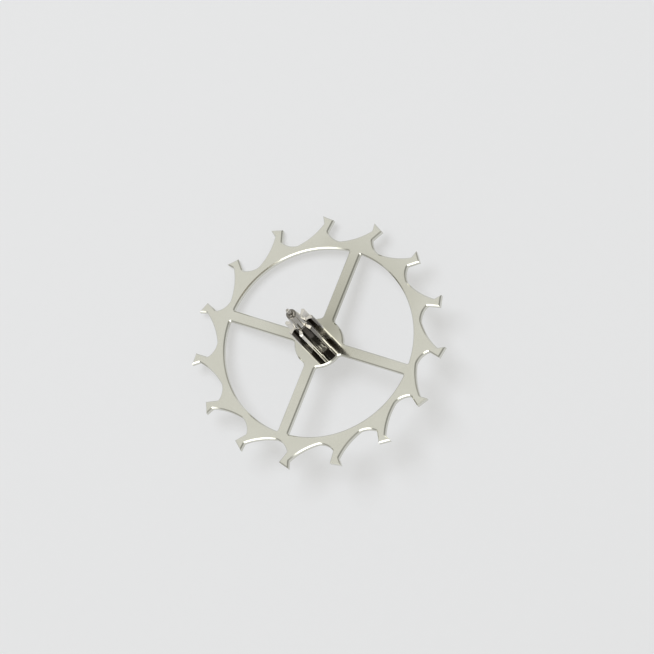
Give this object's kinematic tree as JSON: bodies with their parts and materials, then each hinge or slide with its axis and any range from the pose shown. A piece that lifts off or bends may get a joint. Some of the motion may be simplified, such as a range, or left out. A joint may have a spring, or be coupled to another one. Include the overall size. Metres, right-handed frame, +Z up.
{
  "type": "escape wheel",
  "caption": "Club-toothed watch escape wheel with slim crossed spokes, riveted on a leaved steel pinion whose tapered arbor ends in fine pivots.",
  "frame": {"origin": "centre of the lower pivot's end, on the arbor's axis", "axes": "+Z up the arbor, from the lower pivot through the wheel to the pinion and the upper pivot; +X along a spoke that ends under a tooth; the wheel is driven clockwise seen from +Z"},
  "size_m": [0.0079, 0.008, 0.0043],
  "materials": {
    "wheel_steel": "flat polished hardened steel, with straight milled walls and lightly eased edges",
    "pinion_steel": "black polished hardened steel, turned and burnished, with polished leaves"
  },
  "bodies": {
    "root": {"escape_wheel": "wheel_steel", "escape_pinion": "pinion_steel"}
  },
  "joints": []
}
